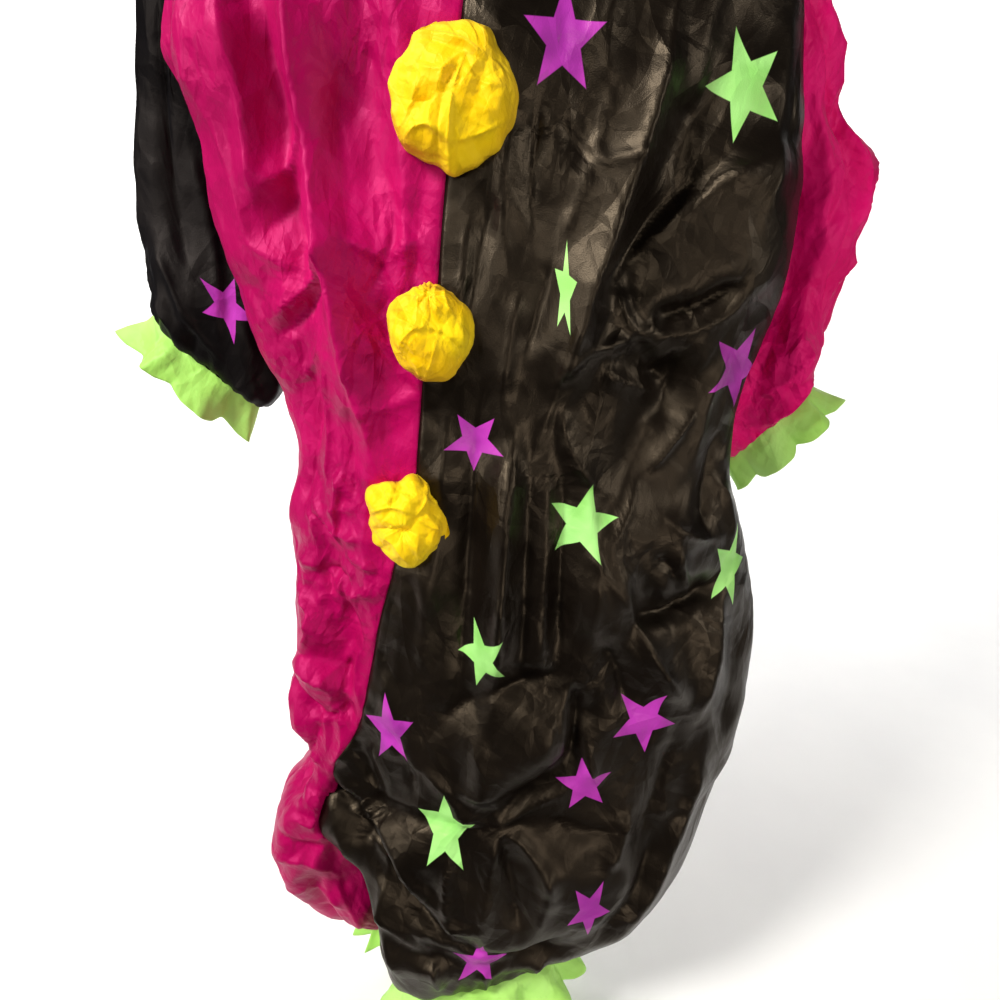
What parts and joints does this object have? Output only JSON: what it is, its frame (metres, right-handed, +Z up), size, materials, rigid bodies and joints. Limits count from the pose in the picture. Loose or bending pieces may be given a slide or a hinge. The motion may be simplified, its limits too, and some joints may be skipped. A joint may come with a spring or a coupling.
{
  "type": "inflatable clown costume",
  "caption": "Hollow clown suit in magenta and starred black cloth, let down and hanging, with an elastic neckband, gathered green cuffs and yellow puffs down the front.",
  "frame": {"origin": "middle of the neck opening, level with the top edge of the body's cloth, where the suit is held up", "axes": "+Z up along the hanging garment, front towards -Y, wearer's right hand towards -X"},
  "size_m": [0.9209, 0.3178, 1.4835],
  "materials": {
    "magenta": "thin proofed nylon with a soft sheen",
    "black": "thin proofed nylon with a brown sheen",
    "green": "light matt nylon",
    "yellow": "satin, crumpled"
  },
  "bodies": {
    "root": {"front_magenta": "magenta", "front_magenta_leg": "magenta", "front_black": "black", "front_black_leg": "black", "back_magenta": "magenta", "back_magenta_leg": "magenta", "back_black": "black", "back_black_leg": "black", "sleeve_black": "black", "sleeve_magenta": "magenta", "neckband": "black", "ankle_frill_right": "green", "ankle_frill_left": "green", "wrist_frill_right": "green", "wrist_frill_left": "green", "pompon_top": "yellow", "pompon_middle": "yellow", "pompon_bottom": "yellow"}
  },
  "joints": []
}
